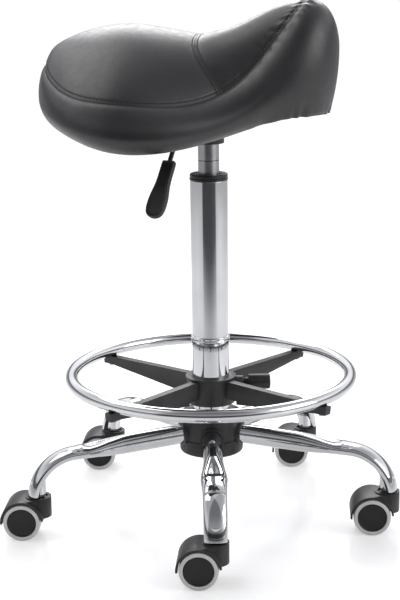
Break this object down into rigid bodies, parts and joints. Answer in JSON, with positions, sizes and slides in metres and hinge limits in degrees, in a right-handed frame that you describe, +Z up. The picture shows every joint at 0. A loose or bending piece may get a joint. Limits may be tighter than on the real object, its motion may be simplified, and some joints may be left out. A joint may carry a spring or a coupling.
{
  "type": "saddle stool",
  "caption": "Height-adjustable saddle stool with a padded seat, gas-lift column, foot ring and five-legged base on twin-wheel casters.",
  "frame": {"origin": "on the floor, on the swivel column's axis", "axes": "+Z up along the swivel column; the seat faces -Y and the sitter's right is -X"},
  "size_m": [0.5254, 0.5286, 0.7076],
  "materials": {
    "black_steel": "satin black powder coat",
    "chrome": "bright chrome plate",
    "black_plastic": "satin moulded nylon",
    "bright_steel": "bright zinc",
    "rubber": "matte",
    "grey_steel": "satin ground",
    "plywood": "bare",
    "foam": "open cell foam",
    "leather": "smooth, slight sheen",
    "nylon": "natural",
    "tread": "light grey, matte"
  },
  "bodies": {
    "base": {"riser_tube": "chrome", "joint_collar": "chrome", "stand_tube": "chrome", "guide_bush": "black_plastic", "thrust_bearing": "bright_steel", "rubber_buffer": "rubber", "retaining_clip": "bright_steel", "hub_core": "black_steel", "hub_upper_cover": "black_plastic", "hub_lower_cover": "black_plastic", "leg_1": "chrome", "leg_2": "chrome", "leg_3": "chrome", "leg_4": "chrome", "leg_5": "chrome", "caster_stems": "bright_steel"},
    "spindle": {"piston_rod": "bright_steel"},
    "seat": {"gas_cylinder": "grey_steel", "seat_plate": "black_steel", "seat_bolts": "bright_steel", "tee_nuts": "bright_steel", "lever_pivot_pin": "bright_steel", "seat_board": "plywood", "seat_foam": "foam", "seat_cover": "leather"},
    "release_pin": {"release_pin": "bright_steel"},
    "lever": {"lever_rod": "black_steel", "lever_paddle": "black_plastic"},
    "footrest": {"foot_ring": "chrome", "ring_bracket": "black_plastic", "ring_screws": "bright_steel"},
    "clamp_shoe": {"clamp_shoe": "nylon"},
    "clamp_knob": {"clamp_knob": "black_plastic"},
    "caster_1": {"caster_1_hood": "black_plastic"},
    "wheel_1a": {"caster_1_disc_a": "black_plastic", "caster_1_tread_a": "tread"},
    "wheel_1b": {"caster_1_disc_b": "black_plastic", "caster_1_tread_b": "tread"},
    "caster_2": {"caster_2_hood": "black_plastic"},
    "wheel_2a": {"caster_2_disc_a": "black_plastic", "caster_2_tread_a": "tread"},
    "wheel_2b": {"caster_2_disc_b": "black_plastic", "caster_2_tread_b": "tread"},
    "caster_3": {"caster_3_hood": "black_plastic"},
    "wheel_3a": {"caster_3_disc_a": "black_plastic", "caster_3_tread_a": "tread"},
    "wheel_3b": {"caster_3_disc_b": "black_plastic", "caster_3_tread_b": "tread"},
    "caster_4": {"caster_4_hood": "black_plastic"},
    "wheel_4a": {"caster_4_disc_a": "black_plastic", "caster_4_tread_a": "tread"},
    "wheel_4b": {"caster_4_disc_b": "black_plastic", "caster_4_tread_b": "tread"},
    "caster_5": {"caster_5_hood": "black_plastic"},
    "wheel_5a": {"caster_5_disc_a": "black_plastic", "caster_5_tread_a": "tread"},
    "wheel_5b": {"caster_5_disc_b": "black_plastic", "caster_5_tread_b": "tread"}
  },
  "joints": [
    {"name": "seat_swivel", "type": "hinge", "parent": "base", "child": "spindle", "pos_m": [0, 0, 0.2], "axis": [0, 0, 1], "continuous": true},
    {"name": "seat_lift", "type": "slide", "parent": "spindle", "child": "seat", "axis": [0, 0, 1], "range_m": [-0.034, 0.155]},
    {"name": "lever_pivot", "type": "hinge", "parent": "seat", "child": "lever", "pos_m": [-0.02583, 0.00785, 0.5524], "axis": [0.2907, 0.9568, 0], "range_deg": [0, 6], "stiffness_Nm_per_rad": 2, "springref_deg": -6.88},
    {"name": "valve_press", "type": "slide", "parent": "seat", "child": "release_pin", "axis": [0, 0, -1], "range_m": [0, 0.003]},
    {"name": "footrest_height", "type": "slide", "parent": "base", "child": "footrest", "axis": [0, 0, 1], "range_m": [-0.0135, 0.046]},
    {"name": "clamp_press", "type": "slide", "parent": "footrest", "child": "clamp_shoe", "axis": [0.2538, -0.9673, 0], "range_m": [0, 0.0025]},
    {"name": "clamp_turn", "type": "hinge", "parent": "clamp_shoe", "child": "clamp_knob", "pos_m": [0, 0, 0.1875], "axis": [0.2538, -0.9673, 0], "range_deg": [0, 720]},
    {"name": "caster_1_swivel", "type": "hinge", "parent": "base", "child": "caster_1", "pos_m": [0.16514, 0.18341, 0.05], "axis": [0, 0, 1], "continuous": true},
    {"name": "wheel_1a_spin", "type": "hinge", "parent": "caster_1", "child": "wheel_1a", "pos_m": [0.14502, 0.20111, 0.025], "axis": [-0.9905, -0.1374, 0], "continuous": true},
    {"name": "wheel_1b_spin", "type": "hinge", "parent": "caster_1", "child": "wheel_1b", "pos_m": [0.17969, 0.20592, 0.025], "axis": [-0.9905, -0.1374, 0], "continuous": true},
    {"name": "caster_2_swivel", "type": "hinge", "parent": "base", "child": "caster_2", "pos_m": [-0.1234, 0.21374, 0.05], "axis": [0, 0, 1], "continuous": true},
    {"name": "wheel_2a_spin", "type": "hinge", "parent": "caster_2", "child": "wheel_2a", "pos_m": [-0.14352, 0.23144, 0.025], "axis": [-0.9905, -0.1374, 0], "continuous": true},
    {"name": "wheel_2b_spin", "type": "hinge", "parent": "caster_2", "child": "wheel_2b", "pos_m": [-0.10886, 0.23625, 0.025], "axis": [-0.9905, -0.1374, 0], "continuous": true},
    {"name": "caster_3_swivel", "type": "hinge", "parent": "base", "child": "caster_3", "pos_m": [-0.24141, -0.05131, 0.05], "axis": [0, 0, 1], "continuous": true},
    {"name": "wheel_3a_spin", "type": "hinge", "parent": "caster_3", "child": "wheel_3a", "pos_m": [-0.26153, -0.03361, 0.025], "axis": [-0.9905, -0.1374, 0], "continuous": true},
    {"name": "wheel_3b_spin", "type": "hinge", "parent": "caster_3", "child": "wheel_3b", "pos_m": [-0.22686, -0.0288, 0.025], "axis": [-0.9905, -0.1374, 0], "continuous": true},
    {"name": "caster_4_swivel", "type": "hinge", "parent": "base", "child": "caster_4", "pos_m": [-0.0258, -0.24545, 0.05], "axis": [0, 0, 1], "continuous": true},
    {"name": "wheel_4a_spin", "type": "hinge", "parent": "caster_4", "child": "wheel_4a", "pos_m": [-0.04592, -0.22775, 0.025], "axis": [-0.9905, -0.1374, 0], "continuous": true},
    {"name": "wheel_4b_spin", "type": "hinge", "parent": "caster_4", "child": "wheel_4b", "pos_m": [-0.01125, -0.22293, 0.025], "axis": [-0.9905, -0.1374, 0], "continuous": true},
    {"name": "caster_5_swivel", "type": "hinge", "parent": "base", "child": "caster_5", "pos_m": [0.22546, -0.10038, 0.05], "axis": [0, 0, 1], "continuous": true},
    {"name": "wheel_5a_spin", "type": "hinge", "parent": "caster_5", "child": "wheel_5a", "pos_m": [0.20534, -0.08268, 0.025], "axis": [-0.9905, -0.1374, 0], "continuous": true},
    {"name": "wheel_5b_spin", "type": "hinge", "parent": "caster_5", "child": "wheel_5b", "pos_m": [0.24001, -0.07787, 0.025], "axis": [-0.9905, -0.1374, 0], "continuous": true}
  ],
  "couplings": [
    {"joint": "valve_press", "follows": "lever_pivot", "m_per_rad": 0.0285},
    {"joint": "clamp_press", "follows": "clamp_turn", "m_per_rad": 0.00019894}
  ]
}
